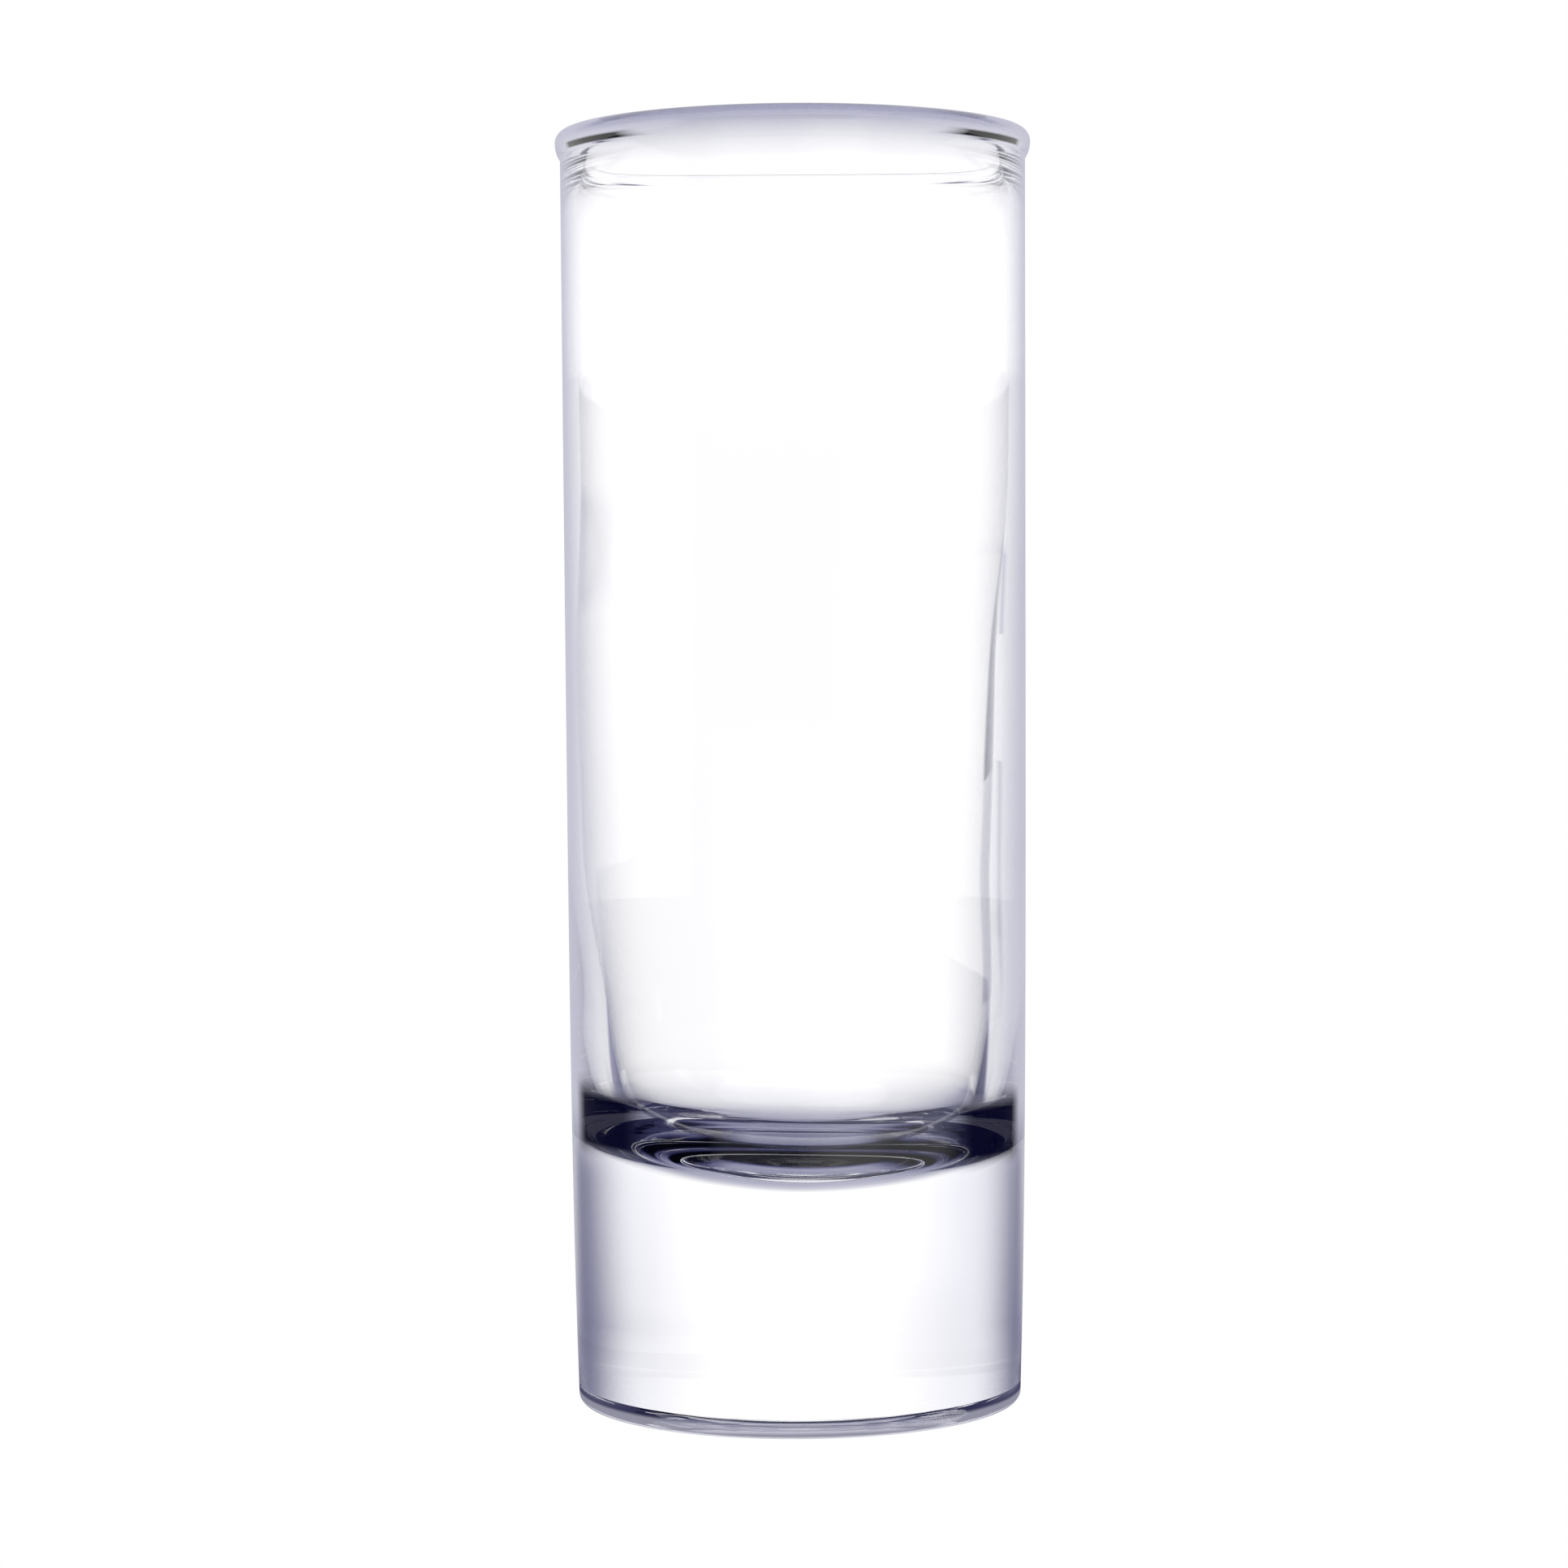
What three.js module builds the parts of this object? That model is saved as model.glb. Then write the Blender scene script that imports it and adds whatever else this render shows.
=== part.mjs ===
// Tall shot glass: one piece of clear moulded glass with a rounded bead at the lip,
// a wall that thickens downwards, a deep solid base and a shallow recess underneath.
// Millimetres, +Z up. The origin is the centre of the ring that the glass stands on.
import * as THREE from 'three';

// Outside
const HEIGHT = 105;
const WALL_RADIUS = 19.18;      // outside of the wall, just under the bead
const WALL_TAPER = 0.28;        // radius lost evenly from the bead down to the heel
const FOOT_TUCK = 0.5;          // further radius lost where the wall draws in at the foot
const FOOT_TUCK_POWER = 6;      // how late that drawing in starts: higher is nearer the foot
const HEEL_RADIUS = 0.75;       // rounding between the wall and the underside

// Lip
const BEAD_PROUD = 0.42;        // how far the bead stands out from the wall
const BEAD_CROWN = 0.9;         // from the bead's widest line up to the rim
const BEAD_DROP = 1.5;          // the bead's half height below its widest line
const LIP_WALL = 1.25;          // wall thickness just under the lip

// Bowl
const WALL_FOOT = 26;           // height where the bowl's wall meets its rounded corner
const WALL_GAIN = 1.3;          // thickness that the wall gains on the whole way down
const WALL_GAIN_POWER = 2;      // how that gain grows: 1 is evenly
const FLARE_GAIN = 1.1;         // further thickness that it gains close to the corner
const FLARE_POWER = 10;         // how late that further gain starts: higher is nearer the corner
const CORNER_RADIUS = 7.8;      // rounding between the bowl's wall and its floor
const DOME_RADIUS = 26;         // hollow of the floor's middle

// Underside
const BEARING_WIDTH = 2.5;      // flat ring that touches the table
const RECESS_DEPTH = 1.2;       // recess inside that ring
const RECESS_CROWN = 0.1;       // how much deeper the recess is at its middle
const RECESS_STEP = 0.7;        // width of the soft edge between the ring and the recess

// Facets
const SEGMENTS = 64;
const HEEL_STEPS = 4;
const BEAD_STEPS = 4;
const WALL_STEPS = 10;
const CORNER_STEPS = 6;
const DOME_STEPS = 4;
const RECESS_STEPS = 3;

const heelTop = HEEL_RADIUS;
const beadLine = HEIGHT - BEAD_CROWN;

// Outside radius of the wall at a height; it is widest under the bead.
function wallRadius(z) {
  const down = (beadLine - z) / (beadLine - heelTop);
  return WALL_RADIUS - WALL_TAPER * down - FOOT_TUCK * down ** FOOT_TUCK_POWER;
}

// Inside radius of the bowl's wall at a height between its corner and the lip.
function bowlRadius(z) {
  const down = (beadLine - z) / (beadLine - WALL_FOOT);
  const gain = WALL_GAIN * down ** WALL_GAIN_POWER + FLARE_GAIN * down ** FLARE_POWER;
  return wallRadius(z) - LIP_WALL - gain;
}

// Points of an elliptical arc, angles in radians from the outward direction.
function arc(centreRadius, centreHeight, halfWidth, halfHeight, from, to, steps) {
  const points = [];
  for (let i = 0; i <= steps; i += 1) {
    const angle = from + (to - from) * i / steps;
    points.push(new THREE.Vector2(
      centreRadius + halfWidth * Math.cos(angle),
      centreHeight + halfHeight * Math.sin(angle),
    ));
  }
  return points;
}

// Points of a wall line between two heights, with the ends left to the curves that it joins.
function wallLine(radiusAt, from, to) {
  const points = [];
  for (let i = 1; i < WALL_STEPS; i += 1) {
    const z = from + (to - from) * i / WALL_STEPS;
    points.push(new THREE.Vector2(radiusAt(z), z));
  }
  return points;
}

// Underside: from the axis along the recess, over its soft edge to the bearing ring.
function undersideProfile() {
  const recessRadius = wallRadius(heelTop) - HEEL_RADIUS - BEARING_WIDTH;
  const flatRadius = recessRadius - RECESS_STEP;
  const points = [];
  for (let i = 0; i <= RECESS_STEPS; i += 1) {
    const radius = flatRadius * i / RECESS_STEPS;
    const share = radius / recessRadius;
    points.push(new THREE.Vector2(radius, RECESS_DEPTH + RECESS_CROWN * (1 - share * share)));
  }
  const edgeHeight = points[points.length - 1].y;
  for (let i = 1; i <= RECESS_STEPS; i += 1) {
    const share = i / RECESS_STEPS;
    const fall = share * share * (3 - 2 * share);
    points.push(new THREE.Vector2(flatRadius + RECESS_STEP * share, edgeHeight * (1 - fall)));
  }
  return points;
}

// Outside: heel, wall and the lower half of the bead, then over the rim to its inner side.
function outsideProfile() {
  const footRadius = wallRadius(heelTop);
  const heel = arc(footRadius - HEEL_RADIUS, heelTop, HEEL_RADIUS, HEEL_RADIUS, -Math.PI / 2, 0, HEEL_STEPS);
  const beadRadius = WALL_RADIUS + BEAD_PROUD;
  const lipHalf = (beadRadius - bowlRadius(beadLine)) / 2;
  const crest = beadRadius - lipHalf;
  const beadStart = -Math.acos((WALL_RADIUS - crest) / lipHalf);
  const beadFoot = beadLine + BEAD_DROP * Math.sin(beadStart);
  return [
    ...heel,
    ...wallLine(wallRadius, heelTop, beadFoot),
    ...arc(crest, beadLine, lipHalf, BEAD_DROP, beadStart, 0, BEAD_STEPS),
    ...arc(crest, beadLine, lipHalf, BEAD_CROWN, 0, Math.PI, 2 * BEAD_STEPS).slice(1),
  ];
}

// Inside: the bowl's wall from the lip down, then a corner arc that runs smoothly
// out of the wall and into the hollow arc of the floor's middle.
function insideProfile() {
  const reach = 0.01;
  const lean = (bowlRadius(WALL_FOOT + reach) - bowlRadius(WALL_FOOT)) / reach;
  const wallSlope = Math.atan2(1, lean);
  const cornerRadius = bowlRadius(WALL_FOOT) - CORNER_RADIUS * Math.sin(wallSlope);
  const cornerHeight = WALL_FOOT + CORNER_RADIUS * Math.cos(wallSlope);
  const meeting = Math.asin(cornerRadius / (DOME_RADIUS - CORNER_RADIUS));
  const domeHeight = cornerHeight + (DOME_RADIUS - CORNER_RADIUS) * Math.cos(meeting);
  const down = -Math.PI / 2;
  const corner = arc(
    cornerRadius, cornerHeight, CORNER_RADIUS, CORNER_RADIUS, down + wallSlope, down + meeting, CORNER_STEPS,
  );
  const dome = arc(0, domeHeight, DOME_RADIUS, DOME_RADIUS, down + meeting, down, DOME_STEPS);
  dome[DOME_STEPS].x = 0;
  return [...wallLine(bowlRadius, beadLine, WALL_FOOT), ...corner, ...dome.slice(1)];
}

function shotGlass() {
  const profile = [...undersideProfile(), ...outsideProfile(), ...insideProfile()];
  const geometry = new THREE.LatheGeometry(profile, SEGMENTS);
  geometry.rotateX(Math.PI / 2);
  const clearGlass = new THREE.MeshStandardMaterial({
    color: 0xe8e8f1,
    roughness: 0.03,
    metalness: 0,
    transparent: true,
    opacity: 0.35,
  });
  const glass = new THREE.Mesh(geometry, clearGlass);
  glass.name = 'shot_glass';
  return glass;
}

const tallShotGlass = new THREE.Group();
tallShotGlass.add(shotGlass());

export default tallShotGlass;
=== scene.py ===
import math

import bmesh
import bpy
from mathutils import Matrix, Vector


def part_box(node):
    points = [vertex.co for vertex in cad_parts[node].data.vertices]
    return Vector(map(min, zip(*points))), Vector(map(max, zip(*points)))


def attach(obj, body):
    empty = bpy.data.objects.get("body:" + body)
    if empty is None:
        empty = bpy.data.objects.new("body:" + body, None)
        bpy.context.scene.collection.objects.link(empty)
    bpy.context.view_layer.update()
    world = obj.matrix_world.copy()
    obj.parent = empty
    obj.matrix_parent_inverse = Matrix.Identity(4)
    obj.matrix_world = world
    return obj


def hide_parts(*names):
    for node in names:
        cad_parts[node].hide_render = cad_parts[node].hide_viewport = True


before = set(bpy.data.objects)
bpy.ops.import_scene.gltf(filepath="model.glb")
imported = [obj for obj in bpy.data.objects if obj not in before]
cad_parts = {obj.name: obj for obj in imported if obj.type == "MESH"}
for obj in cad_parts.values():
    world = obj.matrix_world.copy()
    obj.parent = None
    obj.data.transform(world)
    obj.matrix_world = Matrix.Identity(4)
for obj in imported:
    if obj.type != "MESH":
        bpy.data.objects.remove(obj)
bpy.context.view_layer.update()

MM = 0.001

# Outside of the glass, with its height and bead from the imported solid
lowest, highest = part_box("shot_glass")
HEIGHT = highest.z - lowest.z
BEAD_RADIUS = highest.x
WALL_RADIUS = 19.18 * MM            # outside of the wall, just under the bead
WALL_TAPER = 0.28 * MM              # radius lost evenly from the bead down to the heel
FOOT_TUCK = 0.5 * MM                # further radius lost where the wall draws in at the foot
FOOT_TUCK_POWER = 6                 # how late that starts: higher is nearer the foot
HEEL_RADIUS = 0.75 * MM             # rounding between the wall and the underside
BEAD_CROWN = 0.9 * MM               # from the bead's widest line up to the rim
BEAD_DROP = 1.5 * MM                # the bead's half height below its widest line

# Bowl
LIP_WALL = 1.25 * MM                # wall thickness just under the lip
WALL_GAIN = 1.3 * MM                # thickness that the wall gains on the whole way down
WALL_GAIN_POWER = 2                 # how that gain grows: 1 is evenly
FLARE_GAIN = 1.1 * MM               # further thickness that it gains close to the corner
FLARE_POWER = 10                    # how late that starts: higher is nearer the corner
WALL_FOOT = 26 * MM                 # height where the bowl's wall meets its rounded corner
CORNER_RADIUS = 7.8 * MM            # rounding between the bowl's wall and its floor
DOME_RADIUS = 26 * MM               # hollow of the floor's middle
SLOPE_REACH = 0.01 * MM             # height over which the wall's slope is measured

# From here on, two values in brackets are a smooth fade: none at the first, all at the second.

# Bowl's drift in the mould: sideways in the lower wall, and a tilt of the floor
DRIFT = 0.6 * MM                    # to the left
DRIFT_START = (31 * MM, 45 * MM)
DRIFT_END = (78 * MM, 60 * MM)
FLOOR_TILT = 0.026                  # fall to the right, for each unit of distance
TILT_END = (42 * MM, 26 * MM)
FLOOR_LEVEL = 15 * MM               # nothing of the bowl lies lower

# Underside, with the low rings that the mould leaves in it
BEARING_WIDTH = 2.5 * MM            # flat ring that touches the table
RECESS_DEPTH = 1.2 * MM             # recess inside that ring
RECESS_CROWN = 0.1 * MM             # how much deeper the recess is at its middle
RECESS_STEP = 0.7 * MM              # width of the soft edge between the ring and the recess
MOULD_RINGS = (2.5 * MM, 4.6 * MM, 6.6 * MM, 8.6 * MM, 10.6 * MM)
RING_HEIGHT = 0.02 * MM
RING_WIDTH = 0.3 * MM

# Fineness of the meshes
AROUND = 360
HEEL_STEPS = 8
BEAD_STEPS = 8
OUTER_STEPS = 24
INNER_STEPS = 64
FLOOR_STEPS = 28
PUNT_STEPS = 96
STAGE_STEPS = 96
WELD = 1e-7                         # points closer than this are one

# Camera, from the photograph's picture of the rim, the foot and the sides
EYE_DISTANCE = 330.8 * MM
EYE_HEIGHT = 63.63 * MM
EYE_SIDE = -1.02 * MM
PITCH_DOWN = math.radians(2.15)
ROLL = math.radians(-0.36)
SENSOR = 36.0
LENS = 91.47
NEAREST = 10 * MM

# Longest path of a ray, in turns
BOUNCES = 32

# Stage: a round floor, and a curved panel close round the glass
FLOOR_SIZE = 600 * MM
PANEL_DISTANCE = 48 * MM
PANEL_HEIGHT = 122 * MM

# Directions are degrees round the axis from straight behind the glass, positive to the right.
# A light at a direction is full within its FULL degrees, and ends at its END degrees.
SIDES_MEET = (-5, 5)                # where what holds on the left gives way to the right

# Panel: its lit width at the middle, wider at the top and narrower behind the bowl's lower wall
PANEL_LIGHT = 1.2
PANEL_FOOT = 1.19                   # light low on the panel
PANEL_GAIN = (16 * MM, 60 * MM)
PANEL_TOP = (118 * MM, 114.5 * MM)
PANEL_TURN = -1
PANEL_FULL = 58
PANEL_END = 66
PANEL_WIDEN = 67
WIDEN_END = 1.1                     # how much more its end widens
WIDE_EDGE = (84 * MM, 94 * MM)
NARROW_LEFT = (60 * MM, 30 * MM)
NARROW_RIGHT = (86 * MM, 50 * MM)
NARROW_FULL = 14
NARROW_END = 18

# Low light, at the panel's foot and on the floor behind the glass
LOW_LIGHT = 1.14
LOW_EDGE = (-6 * MM, 16 * MM)
LOW_TURN = -6
LOW_FULL = 12
LOW_END = 75

# Floor, by the distance from the axis: shaded under the glass, dim close to it
SHADE_EDGE = (16.8 * MM, 17.8 * MM)
LEAK_LIGHT = 0.32                   # light that still reaches the middle under the glass
LEAK_SIDE = (13 * MM, 7 * MM)       # by the distance to either side
LEAK_FRONT = (-5 * MM, -1 * MM)     # by the distance to the back
NEAR_LIGHT = 0.25                   # for rays that the glass has turned more often
NEAR_EDGE = (38 * MM, 10 * MM)
FAR_LIGHT = 0.9                     # further light in front on the right, away from the glass
FAR_EDGE = (60 * MM, 90 * MM)
FAR_TURN = 135
FAR_FULL = 25
FAR_END = 50
FILL_NEAR = (46 * MM, 54 * MM)      # low light for rays that pass through both walls of the bowl
FILL_FAR = (215 * MM, 160 * MM)

# Room, by the direction and by the degrees of rise over the horizon
ROOM_LIGHT = 0.03
HAZE_LIGHT = 1.12                   # behind the panel
HAZE_FULL = 50
HAZE_END = 64
HAZE_RISE = (2, 8)
SIDE_PANELS = ((-90, 0.8), (135, 0.5))   # direction and light of each
SIDE_FULL = 10
SIDE_END = 22
SIDE_TOP = (14, 8)
GLOW_LIGHT = 1.1                    # near the horizon, all round but in front
GLOW_TURN = (132, 115)
GLOW_TOP = (5, 2.5)
GLOW_LEFT = (-8, -5)
GLOW_RIGHT = (-8, -6)
SKY_LIGHT = 1.2
SKY_RISE = (40, 60)

# Soft light from in front, which the glass mirrors
FRONT_TURN = (135, 146)
FRONT_LIGHT = 0.48
FRONT_RISE = (4, 10)
FRONT_TOP = (46, 38)
FRONT_FLOOR = 0.3
FRONT_NEAR = (25 * MM, 35 * MM)

# How often the glass turns a ray that passes through its base, is reflected once
# inside its wall, or passes through both walls of the bowl
BASE_TURNS = 2
WALL_TURNS = 3
BOWL_TURNS = 4

# Side light for rays that the wall reflects once
FLANK_LIGHT = 1.05
FLANK_START = (38, 48)
FLANK_END = (62, 57)
FLANK_WIDEN = 55                    # further degrees far away
FLANK_NEAR = (40 * MM, 60 * MM)     # on the floor, by the distance from the axis
FLANK_FAR = (250 * MM, 350 * MM)
FLANK_TOP = (8, 4)                  # in the room, by the rise

# Light all round the sides and the front, for rays that pass right through
BACK_EDGE = (66, 80)
BACK_WIDEN = 24                     # further degrees where the panel isn't narrowed
BACK_NEAR = (22 * MM, 30 * MM)

# Turns after which a ray is mostly lost, for each thing that it can reach
DEEP_LOSS = 0.97
LOSS_SPREAD = 0.3
FLOOR_TURNS = 5.5
PANEL_TURNS = 4.5
PANEL_DEEP = (10 * MM, 6 * MM)      # one turn more at the panel's foot
PANEL_CLEAR = (85 * MM, 95 * MM)    # and many more at its top
CLEAR_TURNS = 30
WORLD_TURNS = 4.5
SKY_TURNS = 2                       # so many more in the sky
SKY_CLEAR = (16, 22)
BLUE_POWER = 0.71                   # how much bluer a dim light is: 1 is not at all

# Glass
GLASS_COLOUR = (0.99, 0.99, 0.995, 1.0)
GLASS_IOR = 1.52
FACING_BLEND = 0.5                  # the plain slant of the surface to the eye
OUTER_SIDE = (17.97 * MM, 18.2 * MM)
CROWN = (102.4 * MM, 103.2 * MM)    # over this the bead's inner half isn't outside any more
RIM_SIDE = (18.6 * MM, 18.8 * MM)

# Painted lavender shade along the outline, by the slant of the surface
EDGE_SHADE_COLOUR = (0.53, 0.53, 0.637, 1.0)
EDGE_SHADE_DEPTH = 0.92
EDGE_SHADE_START = 0.42
EDGE_SHADE_SPREAD = 0.17                  # how much earlier it starts low in the wall
EDGE_SHADE_END = 0.9
EDGE_SHADE_NARROW = 0.1                   # how much earlier it is full there
EDGE_SHADE_HEIGHTS = (93 * MM, 37 * MM)
EDGE_SHADE_FOOT = (0.8 * MM, 2 * MM)

# Base: a darker and narrower painted edge shade, slanted from left to right, and a grey body of
# painted shade
BASE_TOP = (26 * MM, 19 * MM)
BASE_EDGE_SHADE = (0.18, 0.18, 0.28, 1.0)
BASE_START = 0.085
BASE_END = 0.04
BASE_SLANT = 2.6                    # how much later it starts, for each metre to the right
BASE_BRIM = (0.72, 0.9)
BASE_BRIM_SHARE = 0.4               # share of the painted edge shade that is lost at the very edge
BASE_BODY_SHADE = (0.72, 0.72, 0.79, 1.0)
BASE_BODY_FACING = (0.0, 0.3)

# Pale lavender strip of painted shade along the heel
HEEL_SHADE = 0.5
HEEL_EDGE = (1.3 * MM, 0.9 * MM)
HEEL_SIDE = (17.0 * MM, 17.3 * MM)

# Dark ends of the band over the base, in painted shade
BAND_SHADE = (0.0, 0.0, 0.01, 1.0)
BAND_DEPTH = 0.9
BAND_LOW = (20.6 * MM, 22.2 * MM)
BAND_HIGH = (27.8 * MM, 25.6 * MM)
BAND_TILT = 0.028                   # fall to the right, for each unit of distance
BAND_START = (0.2, 0.38)
BAND_END = (0.8, 0.66)

# Lip and rim in painted shade, with thin painted dark streaks at the rim's ends
LIP_FADE = (93 * MM, 102 * MM)
LIP_SHADE = (0.74, 0.74, 0.78, 1.0)
RIM_FADE = (100.6 * MM, 105.0 * MM)
RIM_SHADE = (0.08, 0.08, 0.18, 1.0)
STREAK_LOW = (102.95 * MM, 103.1 * MM)
STREAK_HIGH = (103.65 * MM, 103.45 * MM)
STREAK_START = (0.22, 0.34)
STREAK_END = (0.74, 0.66)

BLACK = (0.0, 0.0, 0.0, 1.0)
WHITE = (1.0, 1.0, 1.0, 1.0)

# Heights that follow from the sizes
heel_top = HEEL_RADIUS
bead_line = HEIGHT - BEAD_CROWN


class Wire:
    """A socket of a node tree. Arithmetic on it adds Math nodes to the same tree."""

    def __init__(self, tree, socket=None):
        self.tree = tree
        self.socket = socket

    def add(self, kind, settings=None, sockets=None):
        """A new node: its settings first, then the values or links of its sockets."""
        node = self.tree.nodes.new(kind)
        for name, value in (settings or {}).items():
            setattr(node, name, value)
        for name, value in (sockets or {}).items():
            if isinstance(value, Wire):
                self.tree.links.new(value.socket, node.inputs[name])
            else:
                node.inputs[name].default_value = value
        return Wire(self.tree, node.outputs[0] if node.outputs else None)

    def out(self, name):
        """Another output of the node that this wire comes from."""
        return Wire(self.tree, self.socket.node.outputs[name])

    def maths(self, operation, *operands):
        sockets = dict(enumerate(operands))
        return self.add("ShaderNodeMath", {"operation": operation}, sockets)

    def __add__(self, other):
        return self.maths("ADD", self, other)

    __radd__ = __add__

    def __sub__(self, other):
        return self.maths("SUBTRACT", self, other)

    def __rsub__(self, other):
        return self.maths("SUBTRACT", other, self)

    def __mul__(self, other):
        return self.maths("MULTIPLY", self, other)

    __rmul__ = __mul__

    def __truediv__(self, other):
        return self.maths("DIVIDE", self, other)

    def __pow__(self, other):
        return self.maths("POWER", self, other)

    def __abs__(self):
        return self.maths("ABSOLUTE", self)

    def at_least(self, other):
        """This wire, or the other value where that is larger."""
        return self.maths("MAXIMUM", self, other)

    def step(self, low, high):
        """0 at low, 1 at high, and a smooth rise between them."""
        sockets = {"Value": self, "From Min": low, "From Max": high}
        return self.add("ShaderNodeMapRange", {"interpolation_type": "SMOOTHSTEP"}, sockets)

    def blend(self, first, second):
        """A colour that goes from first to second as this wire goes from 0 to 1."""
        settings = {"data_type": "RGBA", "clamp_factor": False}
        node = self.add("ShaderNodeMix", settings, {0: self, 6: first, 7: second})
        return Wire(self.tree, node.socket.node.outputs[2])

    def axis(self, name):
        """One coordinate of a vector."""
        return self.add("ShaderNodeSeparateXYZ", None, {"Vector": self}).out(name)


def fresh_tree(owner):
    owner.use_nodes = True
    owner.node_tree.nodes.clear()
    return Wire(owner.node_tree)


def smooth(value, low, high):
    """0 at low, 1 at high, and a smooth rise between them."""
    share = min(max((value - low) / (high - low), 0.0), 1.0)
    return share * share * (3 - 2 * share)


def wall_radius(z):
    """Outside radius of the wall at a height."""
    down = (bead_line - z) / (bead_line - heel_top)
    return WALL_RADIUS - WALL_TAPER * down - FOOT_TUCK * down ** FOOT_TUCK_POWER


def bowl_radius(z):
    """Inside radius of the bowl's wall at a height above its floor."""
    down = (bead_line - z) / (bead_line - WALL_FOOT)
    gain = WALL_GAIN * down ** WALL_GAIN_POWER + FLARE_GAIN * down ** FLARE_POWER
    return wall_radius(z) - LIP_WALL - gain


def arc(centre_radius, centre_height, half_width, half_height, start, end, steps):
    """Points of an elliptical arc, angles in radians from the outward direction."""
    points = []
    for i in range(steps + 1):
        angle = start + (end - start) * i / steps
        points.append((
            centre_radius + half_width * math.cos(angle),
            centre_height + half_height * math.sin(angle),
        ))
    return points


def wall_line(radius_at, start, end, steps):
    """Points of a wall between two heights, with the ends left to the curves that it joins."""
    points = []
    for i in range(1, steps):
        z = start + (end - start) * i / steps
        points.append((radius_at(z), z))
    return points


def punt_profile():
    """Underside, from the axis to the inner edge of the bearing ring."""
    recess_radius = wall_radius(heel_top) - HEEL_RADIUS - BEARING_WIDTH
    points = []
    for i in range(PUNT_STEPS + 1):
        share = i / PUNT_STEPS
        radius = recess_radius * share
        height = RECESS_DEPTH + RECESS_CROWN * (1 - share * share)
        for ring in MOULD_RINGS:
            height += RING_HEIGHT * math.exp(-((radius - ring) / RING_WIDTH) ** 2)
        points.append((radius, height * smooth(recess_radius - radius, 0, RECESS_STEP)))
    return points


def outside_profile():
    """Heel, wall and bead, over the rim to the inner side of the bead."""
    foot = wall_radius(heel_top)
    heel = arc(foot - HEEL_RADIUS, heel_top, HEEL_RADIUS, HEEL_RADIUS, -math.pi / 2, 0, HEEL_STEPS)
    lip_half = (BEAD_RADIUS - bowl_radius(bead_line)) / 2
    crest = BEAD_RADIUS - lip_half
    bead_start = -math.acos((WALL_RADIUS - crest) / lip_half)
    bead_foot = bead_line + BEAD_DROP * math.sin(bead_start)
    under = arc(crest, bead_line, lip_half, BEAD_DROP, bead_start, 0, BEAD_STEPS)
    over = arc(crest, bead_line, lip_half, BEAD_CROWN, 0, math.pi, 2 * BEAD_STEPS)
    return heel + wall_line(wall_radius, heel_top, bead_foot, OUTER_STEPS) + under + over[1:]


def inside_profile():
    """Bowl, from the lip down its wall and over its rounded floor to the axis."""
    lean = (bowl_radius(WALL_FOOT + SLOPE_REACH) - bowl_radius(WALL_FOOT)) / SLOPE_REACH
    wall_slope = math.atan2(1, lean)
    centre_radius = bowl_radius(WALL_FOOT) - CORNER_RADIUS * math.sin(wall_slope)
    centre_height = WALL_FOOT + CORNER_RADIUS * math.cos(wall_slope)
    meeting = math.asin(centre_radius / (DOME_RADIUS - CORNER_RADIUS))
    dome_height = centre_height + (DOME_RADIUS - CORNER_RADIUS) * math.cos(meeting)
    down = -math.pi / 2
    wall = wall_line(bowl_radius, bead_line, WALL_FOOT, INNER_STEPS)
    corner = arc(centre_radius, centre_height, CORNER_RADIUS, CORNER_RADIUS,
                 down + wall_slope, down + meeting, FLOOR_STEPS)
    dome = arc(0, dome_height, DOME_RADIUS, DOME_RADIUS, down + meeting, down, FLOOR_STEPS)
    return wall + corner + dome[1:]


def bowl_drift(place):
    """How far the moulded bowl has drifted: its wall to one side, and its floor tilted."""
    x, y, z = place
    bowl_side = z > FLOOR_LEVEL and math.hypot(x, y) < wall_radius(z) - LIP_WALL / 2
    if not bowl_side:
        return Vector((0, 0, 0))
    aside = smooth(z, *DRIFT_START) * smooth(z, *DRIFT_END)
    return Vector((-DRIFT * aside, 0, -FLOOR_TILT * x * smooth(z, *TILT_END)))


def spin_round(builder, line, edges, steps):
    """A full turn of a line of points round the axis."""
    bmesh.ops.spin(
        builder, geom=line + edges, cent=(0, 0, 0), axis=(0, 0, 1),
        angle=math.tau, steps=steps, use_merge=True,
    )


def add_piece(name, builder, material):
    mesh = bpy.data.meshes.new(name)
    builder.to_mesh(mesh)
    builder.free()
    mesh.materials.append(material)
    piece = bpy.data.objects.new(name, mesh)
    bpy.context.scene.collection.objects.link(piece)
    return piece


def glass_piece(material):
    """The whole glass: its outline spun once round the axis, with the bowl drifted."""
    builder = bmesh.new()
    profile = punt_profile() + outside_profile() + inside_profile()
    line = [builder.verts.new((radius, 0.0, height)) for radius, height in profile]
    edges = [builder.edges.new(pair) for pair in zip(line, line[1:])]
    spin_round(builder, line, edges, AROUND)
    bmesh.ops.remove_doubles(builder, verts=builder.verts, dist=WELD)
    for vert in builder.verts:
        vert.co += bowl_drift(vert.co)
    bmesh.ops.recalc_face_normals(builder, faces=builder.faces)
    for face in builder.faces:
        face.smooth = True
    return add_piece("glass", builder, material)


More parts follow.
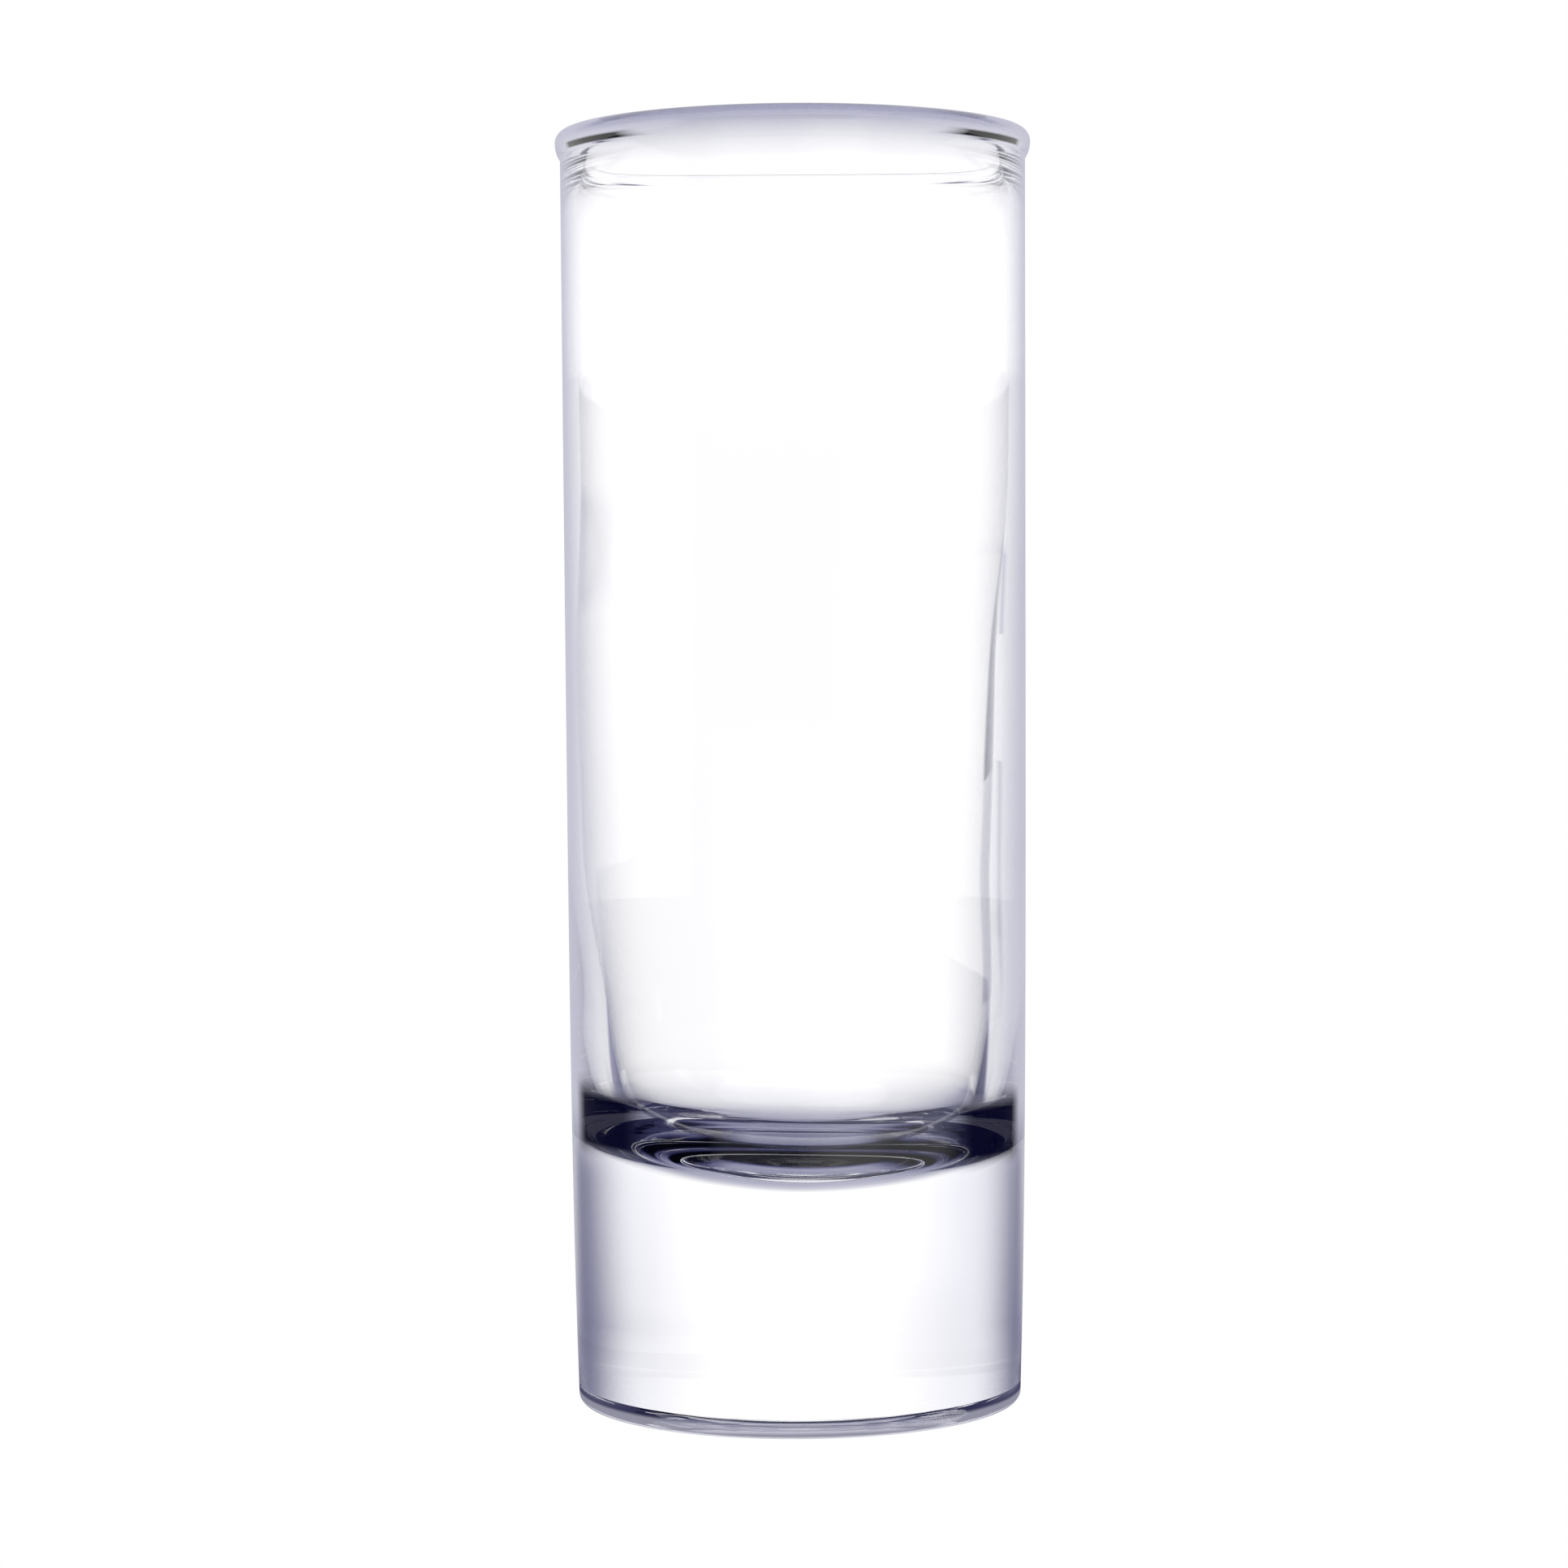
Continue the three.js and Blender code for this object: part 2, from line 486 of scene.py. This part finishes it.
def clear_glass():
    """Clear glass, with painted shade along its outline and on its base, heel, lip and rim."""
    material = bpy.data.materials.new("clear_glass")
    tree = fresh_tree(material)
    place = tree.add("ShaderNodeTexCoord").out("Object")
    across = place.axis("X")
    along = place.axis("Y")
    height = place.axis("Z")
    square = across * across + along * along
    radius = square.maths("SQRT", square)
    facing = tree.add("ShaderNodeLayerWeight", None, {"Blend": FACING_BLEND}).out("Facing")
    front = 1 - tree.add("ShaderNodeNewGeometry").out("Backfacing")
    side = radius.step(*OUTER_SIDE)
    outside = front * (side + height.step(*CROWN) * (radius.step(*RIM_SIDE) - side))
    base = height.step(*BASE_TOP)

    # Painted shade along the outline
    lower = height.step(*EDGE_SHADE_HEIGHTS)
    slant = BASE_SLANT * across
    start = EDGE_SHADE_START - EDGE_SHADE_SPREAD * lower + base * (BASE_START + slant)
    end = EDGE_SHADE_END - EDGE_SHADE_NARROW * lower - base * (BASE_END - slant)
    brim = 1 - BASE_BRIM_SHARE * base * facing.step(*BASE_BRIM)
    painted_shade = EDGE_SHADE_DEPTH * facing.step(start, end) * brim * outside * height.step(*EDGE_SHADE_FOOT)

    # The painted strip along the heel, the painted dark ends of the band, and no edge shade where
    # the painted streaks are
    heel = height.step(*HEEL_EDGE) * radius.step(*HEEL_SIDE) * front
    level = height + BAND_TILT * across
    band = level.step(*BAND_LOW) * level.step(*BAND_HIGH) * facing.step(*BAND_END)
    streak = height.step(*STREAK_LOW) * height.step(*STREAK_HIGH) * outside
    streak = streak * facing.step(*STREAK_START) * facing.step(*STREAK_END)
    painted_shade = painted_shade.at_least(HEEL_SHADE * heel)
    painted_shade = painted_shade.at_least(BAND_DEPTH * band * facing.step(*BAND_START) * outside)
    painted_shade = painted_shade * (1 - streak)

    # A black coat takes the painted shade's share of the light, and a painted glow under it gives
    # that shade its tone
    tone = band.blend((base - heel).blend(EDGE_SHADE_COLOUR, BASE_EDGE_SHADE), BAND_SHADE)
    glow = painted_shade / (1 - painted_shade)

    # The colour of the light that passes, with painted shade on the base, lip and rim and painted
    # black streaks
    body_shade = base * facing.step(*BASE_BODY_FACING)
    lip = height.step(*LIP_FADE) * outside
    rim = height.step(*RIM_FADE) * radius.step(*RIM_SIDE) * front
    colour = lip.blend(body_shade.blend(GLASS_COLOUR, BASE_BODY_SHADE), LIP_SHADE)
    glass = tree.add("ShaderNodeBsdfPrincipled", None, {
        "Base Color": streak.blend(rim.blend(colour, RIM_SHADE), BLACK),
        "Roughness": 0.0,
        "IOR": GLASS_IOR,
        "Transmission Weight": 1.0,
        "Coat Weight": painted_shade,
        "Coat Roughness": 0.0,
        "Coat IOR": 1.0,
        "Coat Tint": BLACK,
        "Emission Color": glow.blend(BLACK, tone),
        "Emission Strength": 1.0,
    })
    tree.add("ShaderNodeOutputMaterial", None, {"Surface": glass})
    return material


def heading(place):
    """Degrees round the axis from straight behind the glass, positive to the right."""
    across = place.axis("X")
    return across.maths("ARCTAN2", across, place.axis("Y")) * math.degrees(1)


def beside(turn, centre, full, end):
    """1 within full degrees of a direction, and 0 past end degrees from it."""
    return abs(turn - centre).step(end, full)


def sided(turn, left, right):
    """One value on the left of straight behind, and another on the right."""
    return left + turn.step(*SIDES_MEET) * (right - left)


def ray_turns(tree):
    """How many times the glass has turned the ray."""
    return tree.add("ShaderNodeLightPath").out("Ray Depth")


def turned(turns, count):
    """1 for rays that the glass has turned at least so many times, and 0 for others."""
    return turns.maths("GREATER_THAN", turns, count - 1)


def just_turned(turns, count):
    """1 for rays that the glass has turned just so many times, and 0 for others."""
    return turned(turns, count) - turned(turns, count + 1)


def flank(turns, turn, far):
    """Side light for rays that the wall reflects once; it is wider far away."""
    aside = abs(turn)
    width = aside.step(*FLANK_START) * (aside - FLANK_WIDEN * far).step(*FLANK_END)
    return FLANK_LIGHT * just_turned(turns, WALL_TURNS) * width


def around(turns, turn, wider):
    """1 for rays that pass right through the glass towards its sides or its front."""
    right_through = turned(turns, BASE_TURNS) - just_turned(turns, WALL_TURNS)
    return right_through * (abs(turn) + wider).step(*BACK_EDGE)


def lasting(turns, limit):
    """Share of a light that lasts: past a limit of turns in the glass a ray loses most of it."""
    return 1 - DEEP_LOSS * turns.step(limit - LOSS_SPREAD, limit + LOSS_SPREAD)


def lavender(light):
    """The colour of a light level: white from 1 up, and bluer the darker it is."""
    blue = (light ** BLUE_POWER).at_least(light)
    return light.add("ShaderNodeCombineColor", None, {"Red": light, "Green": light, "Blue": blue})


def white_to_the_eye(turns, light):
    """White where the camera looks at it, and the colour of its light where the glass does."""
    return turns.out("Is Camera Ray").blend(lavender(light), WHITE)


def pale_floor():
    """White to the eye. The glass sees it lit from behind and dark where the glass stands."""
    material = bpy.data.materials.new("pale_floor")
    tree = fresh_tree(material)
    place = tree.add("ShaderNodeTexCoord").out("Object")
    reach = tree.add("ShaderNodeVectorMath", {"operation": "LENGTH"}, {0: place}).out("Value")
    turn = heading(place)
    turns = ray_turns(tree)
    near = LOW_LIGHT - (LOW_LIGHT - NEAR_LIGHT) * reach.step(*NEAR_EDGE) * turned(turns, WALL_TURNS)
    light = ROOM_LIGHT + (near - ROOM_LIGHT) * beside(turn, LOW_TURN, LOW_FULL, LOW_END)
    light = light + FAR_LIGHT * beside(turn, FAR_TURN, FAR_FULL, FAR_END) * reach.step(*FAR_EDGE)
    light = light.at_least(flank(turns, turn, reach.step(*FLANK_FAR)) * reach.step(*FLANK_NEAR))
    light = light.at_least(LOW_LIGHT * around(turns, turn, 0) * reach.step(*BACK_NEAR))
    fill = just_turned(turns, BOWL_TURNS) * reach.step(*FILL_NEAR) * reach.step(*FILL_FAR)
    light = light.at_least(LOW_LIGHT * fill)
    leak = LEAK_LIGHT * abs(place.axis("X")).step(*LEAK_SIDE) * place.axis("Y").step(*LEAK_FRONT)
    light = (leak + (light - leak) * reach.step(*SHADE_EDGE)) * lasting(turns, FLOOR_TURNS)
    light = light + FRONT_FLOOR * abs(turn).step(*FRONT_TURN) * reach.step(*FRONT_NEAR)
    glow = tree.add("ShaderNodeEmission", None, {"Color": white_to_the_eye(turns, light)})
    tree.add("ShaderNodeOutputMaterial", None, {"Surface": glow})
    return material


def panel_light():
    """The curved panel: firm sides and top, darker corners at its foot, and clear elsewhere."""
    material = bpy.data.materials.new("panel_light")
    tree = fresh_tree(material)
    place = tree.add("ShaderNodeTexCoord").out("Object")
    height = place.axis("Z")
    turn = heading(place)
    turns = ray_turns(tree)
    high = PANEL_FOOT + (PANEL_LIGHT - PANEL_FOOT) * height.step(*PANEL_GAIN)
    low = LOW_LIGHT * beside(turn, LOW_TURN, LOW_FULL, LOW_END)
    low = low.at_least(flank(turns, turn, 0)).at_least(LOW_LIGHT * around(turns, turn, 0))
    limit = PANEL_TURNS + height.step(*PANEL_DEEP) + CLEAR_TURNS * height.step(*PANEL_CLEAR)
    light = (low + (high - low) * height.step(*LOW_EDGE)) * lasting(turns, limit)
    bowl = turned(turns, BOWL_TURNS)
    narrow = bowl * sided(turn, height.step(*NARROW_LEFT), height.step(*NARROW_RIGHT))
    widen = PANEL_WIDEN * height.step(*WIDE_EDGE)
    full = PANEL_FULL + widen - NARROW_FULL * narrow
    end = PANEL_END + WIDEN_END * widen - NARROW_END * narrow
    width = beside(turn, PANEL_TURN, full, end)
    width = width.at_least(around(turns, turn, BACK_WIDEN * (bowl - narrow)))
    glow = tree.add("ShaderNodeEmission", None, {"Color": lavender(light)})
    clear = tree.add("ShaderNodeBsdfTransparent")
    lit = width * height.step(*PANEL_TOP)
    mixed = tree.add("ShaderNodeMixShader", None, {0: lit, 1: clear, 2: glow})
    tree.add("ShaderNodeOutputMaterial", None, {"Surface": mixed})
    return material


def stage_floor():
    builder = bmesh.new()
    bmesh.ops.create_circle(builder, cap_ends=True, segments=STAGE_STEPS, radius=FLOOR_SIZE)
    floor = add_piece("floor", builder, pale_floor())
    floor.visible_shadow = False


def stage_panel():
    builder = bmesh.new()
    line = [builder.verts.new((0, PANEL_DISTANCE, height)) for height in (0, PANEL_HEIGHT)]
    spin_round(builder, line, [builder.edges.new(line)], STAGE_STEPS)
    panel = add_piece("panel", builder, panel_light())
    panel.visible_camera = False
    panel.visible_shadow = False


def studio_world():
    """A dark room with low panels at the sides, haze behind the glass and a bright ceiling."""
    world = bpy.data.worlds.new("studio")
    bpy.context.scene.world = world
    tree = fresh_tree(world)
    way = tree.add("ShaderNodeTexCoord").out("Generated")
    height = way.axis("Z")
    turn = heading(way)
    rise = height.maths("ARCSINE", height) * math.degrees(1)
    turns = ray_turns(tree)
    haze = beside(turn, 0, HAZE_FULL, HAZE_END).at_least(around(turns, turn, 0))
    light = ROOM_LIGHT + HAZE_LIGHT * haze * rise.step(*HAZE_RISE)
    for centre, brightness in SIDE_PANELS:
        light = light + brightness * beside(turn, centre, SIDE_FULL, SIDE_END) * rise.step(*SIDE_TOP)
    glow_foot = sided(turn, rise.step(*GLOW_LEFT), rise.step(*GLOW_RIGHT))
    glow = GLOW_LIGHT * abs(turn).step(*GLOW_TURN) * rise.step(*GLOW_TOP) * glow_foot
    light = light.at_least(glow).at_least(flank(turns, turn, 1) * rise.step(*FLANK_TOP))
    light = light + (SKY_LIGHT - light) * rise.step(*SKY_RISE)
    light = light * lasting(turns, WORLD_TURNS + SKY_TURNS * rise.step(*SKY_CLEAR))
    front = abs(turn).step(*FRONT_TURN) * rise.step(*FRONT_RISE) * rise.step(*FRONT_TOP)
    colour = white_to_the_eye(turns, light + FRONT_LIGHT * front)
    background = tree.add("ShaderNodeBackground", None, {"Color": colour})
    tree.add("ShaderNodeOutputWorld", None, {"Surface": background})


def photograph_camera():
    data = bpy.data.cameras.new("camera")
    data.sensor_width = SENSOR
    data.lens = LENS
    data.clip_start = NEAREST
    camera = bpy.data.objects.new("camera", data)
    right = Vector((
        math.cos(ROLL),
        math.sin(ROLL) * math.sin(PITCH_DOWN),
        math.sin(ROLL) * math.cos(PITCH_DOWN),
    ))
    ahead = Vector((0, math.cos(PITCH_DOWN), -math.sin(PITCH_DOWN)))
    up = right.cross(ahead)
    turn = Matrix((right, up, -ahead)).transposed().to_4x4()
    camera.matrix_world = Matrix.Translation((EYE_SIDE, -EYE_DISTANCE, EYE_HEIGHT)) @ turn
    bpy.context.scene.collection.objects.link(camera)
    bpy.context.scene.camera = camera


def render_settings():
    scene = bpy.context.scene
    scene.view_settings.view_transform = "Standard"
    scene.cycles.max_bounces = BOUNCES
    scene.cycles.transmission_bounces = BOUNCES
    scene.cycles.glossy_bounces = BOUNCES


glass = glass_piece(clear_glass())
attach(glass, "root")
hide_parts("shot_glass")
stage_floor()
stage_panel()
studio_world()
photograph_camera()
render_settings()
